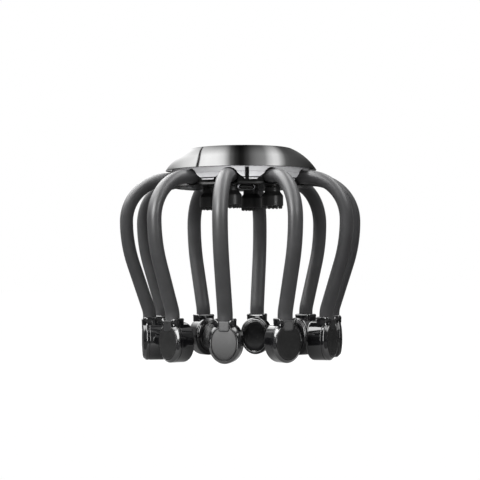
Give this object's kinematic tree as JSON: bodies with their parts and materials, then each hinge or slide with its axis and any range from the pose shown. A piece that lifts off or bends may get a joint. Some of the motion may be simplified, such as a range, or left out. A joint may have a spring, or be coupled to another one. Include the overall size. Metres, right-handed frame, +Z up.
{
  "type": "electric head massager",
  "caption": "Electric scalp massager: a round mirror-banded hub with curved silicone claws ending in vibrating pods, and geared kneading heads underneath.",
  "frame": {"origin": "on the hub's axis, at the floor that the pods stand on", "axes": "+Z up along the hub's axis; -Y is the front, where the charging socket and the slit in the skirt face, about five degrees towards +X"},
  "size_m": [0.1504, 0.1496, 0.1308],
  "materials": {
    "dark_mirror_plating": "dark mirror plating on moulded plastic",
    "bright_plating": "bright satin plating on moulded plastic",
    "hub_gloss": "polished black",
    "black_moulding": "fine matte black",
    "screw_steel": "plain steel",
    "button_plastic": "satin black",
    "board_laminate": "solder mask",
    "cell_foil": "foil pouch",
    "motor_steel": "plated can",
    "gear_plastic": "natural acetal",
    "socket_shell": "drawn steel shell",
    "claw_silicone": "smooth matte silicone over a spring core",
    "pod_gloss": "polished black",
    "pod_face_plastic": "satin dark grey",
    "head_silicone": "matte black silicone"
  },
  "bodies": {
    "hub": {"trim_ring": "dark_mirror_plating", "top_cover": "hub_gloss", "skirt_ring": "bright_plating", "arm_carrier": "black_moulding", "base_plate": "hub_gloss", "base_screws": "screw_steel", "circuit_board": "board_laminate", "battery_cell": "cell_foil", "drive_motor": "motor_steel", "charge_socket": "socket_shell"},
    "button": {"power_button": "button_plastic"},
    "drive": {"drive_gear": "gear_plastic"},
    "knead_1": {"knead_gear_1": "gear_plastic", "knead_head_1": "head_silicone"},
    "knead_2": {"knead_gear_2": "gear_plastic", "knead_head_2": "head_silicone"},
    "knead_3": {"knead_gear_3": "gear_plastic", "knead_head_3": "head_silicone"},
    "knead_4": {"knead_gear_4": "gear_plastic", "knead_head_4": "head_silicone"},
    "claw_1": {"claw_arm_1": "claw_silicone", "pod_case_1": "pod_gloss", "pod_faces_1": "pod_face_plastic", "pod_motor_1": "motor_steel"},
    "claw_2": {"claw_arm_2": "claw_silicone", "pod_case_2": "pod_gloss", "pod_faces_2": "pod_face_plastic", "pod_motor_2": "motor_steel"},
    "claw_3": {"claw_arm_3": "claw_silicone", "pod_case_3": "pod_gloss", "pod_faces_3": "pod_face_plastic", "pod_motor_3": "motor_steel"},
    "claw_4": {"claw_arm_4": "claw_silicone", "pod_case_4": "pod_gloss", "pod_faces_4": "pod_face_plastic", "pod_motor_4": "motor_steel"},
    "claw_5": {"claw_arm_5": "claw_silicone", "pod_case_5": "pod_gloss", "pod_faces_5": "pod_face_plastic", "pod_motor_5": "motor_steel"},
    "claw_6": {"claw_arm_6": "claw_silicone", "pod_case_6": "pod_gloss", "pod_faces_6": "pod_face_plastic", "pod_motor_6": "motor_steel"},
    "claw_7": {"claw_arm_7": "claw_silicone", "pod_case_7": "pod_gloss", "pod_faces_7": "pod_face_plastic", "pod_motor_7": "motor_steel"},
    "claw_8": {"claw_arm_8": "claw_silicone", "pod_case_8": "pod_gloss", "pod_faces_8": "pod_face_plastic", "pod_motor_8": "motor_steel"},
    "claw_9": {"claw_arm_9": "claw_silicone", "pod_case_9": "pod_gloss", "pod_faces_9": "pod_face_plastic", "pod_motor_9": "motor_steel"},
    "claw_10": {"claw_arm_10": "claw_silicone", "pod_case_10": "pod_gloss", "pod_faces_10": "pod_face_plastic", "pod_motor_10": "motor_steel"}
  },
  "joints": [
    {"name": "button_press", "type": "slide", "parent": "hub", "child": "button", "axis": [0, 0, -1], "range_m": [0, 0.0008], "stiffness_N_per_m": 900},
    {"name": "drive_spin", "type": "hinge", "parent": "hub", "child": "drive", "pos_m": [0, 0, 0.1118], "axis": [0, 0, 1], "continuous": true},
    {"name": "knead_spin_1", "type": "hinge", "parent": "hub", "child": "knead_1", "pos_m": [-0.0063, -0.0194, 0.1118], "axis": [0, 0, 1], "continuous": true},
    {"name": "knead_spin_2", "type": "hinge", "parent": "hub", "child": "knead_2", "pos_m": [0.0194, -0.0063, 0.1118], "axis": [0, 0, 1], "continuous": true},
    {"name": "knead_spin_3", "type": "hinge", "parent": "hub", "child": "knead_3", "pos_m": [0.0063, 0.0194, 0.1118], "axis": [0, 0, 1], "continuous": true},
    {"name": "knead_spin_4", "type": "hinge", "parent": "hub", "child": "knead_4", "pos_m": [-0.0194, 0.0063, 0.1118], "axis": [0, 0, 1], "continuous": true},
    {"name": "claw_flex_1", "type": "hinge", "parent": "hub", "child": "claw_1", "pos_m": [-0.00705, -0.04001, 0.11159], "axis": [-0.9848, 0.1736, 0], "range_deg": [-3, 10], "stiffness_Nm_per_rad": 1.2},
    {"name": "claw_flex_2", "type": "hinge", "parent": "hub", "child": "claw_2", "pos_m": [0.01781, -0.03652, 0.11159], "axis": [-0.8988, -0.4384, 0], "range_deg": [-3, 10], "stiffness_Nm_per_rad": 1.2},
    {"name": "claw_flex_3", "type": "hinge", "parent": "hub", "child": "claw_3", "pos_m": [0.03587, -0.01908, 0.11159], "axis": [-0.4695, -0.8829, 0], "range_deg": [-3, 10], "stiffness_Nm_per_rad": 1.2},
    {"name": "claw_flex_4", "type": "hinge", "parent": "hub", "child": "claw_4", "pos_m": [0.04023, 0.00566, 0.11159], "axis": [0.1392, -0.9903, 0], "range_deg": [-3, 10], "stiffness_Nm_per_rad": 1.2},
    {"name": "claw_flex_5", "type": "hinge", "parent": "hub", "child": "claw_5", "pos_m": [0.02923, 0.02822, 0.11159], "axis": [0.6947, -0.7193, 0], "range_deg": [-3, 10], "stiffness_Nm_per_rad": 1.2},
    {"name": "claw_flex_6", "type": "hinge", "parent": "hub", "child": "claw_6", "pos_m": [0.00705, 0.04001, 0.11159], "axis": [0.9848, -0.1736, 0], "range_deg": [-3, 10], "stiffness_Nm_per_rad": 1.2},
    {"name": "claw_flex_7", "type": "hinge", "parent": "hub", "child": "claw_7", "pos_m": [-0.01781, 0.03652, 0.11159], "axis": [0.8988, 0.4384, 0], "range_deg": [-3, 10], "stiffness_Nm_per_rad": 1.2},
    {"name": "claw_flex_8", "type": "hinge", "parent": "hub", "child": "claw_8", "pos_m": [-0.03587, 0.01908, 0.11159], "axis": [0.4695, 0.8829, 0], "range_deg": [-3, 10], "stiffness_Nm_per_rad": 1.2},
    {"name": "claw_flex_9", "type": "hinge", "parent": "hub", "child": "claw_9", "pos_m": [-0.04023, -0.00566, 0.11159], "axis": [-0.1392, 0.9903, 0], "range_deg": [-3, 10], "stiffness_Nm_per_rad": 1.2},
    {"name": "claw_flex_10", "type": "hinge", "parent": "hub", "child": "claw_10", "pos_m": [-0.02923, -0.02822, 0.11159], "axis": [-0.6947, 0.7193, 0], "range_deg": [-3, 10], "stiffness_Nm_per_rad": 1.2}
  ],
  "couplings": [
    {"joint": "knead_spin_1", "follows": "drive_spin", "ratio": -0.88889},
    {"joint": "knead_spin_2", "follows": "drive_spin", "ratio": -0.88889},
    {"joint": "knead_spin_3", "follows": "drive_spin", "ratio": -0.88889},
    {"joint": "knead_spin_4", "follows": "drive_spin", "ratio": -0.88889}
  ]
}
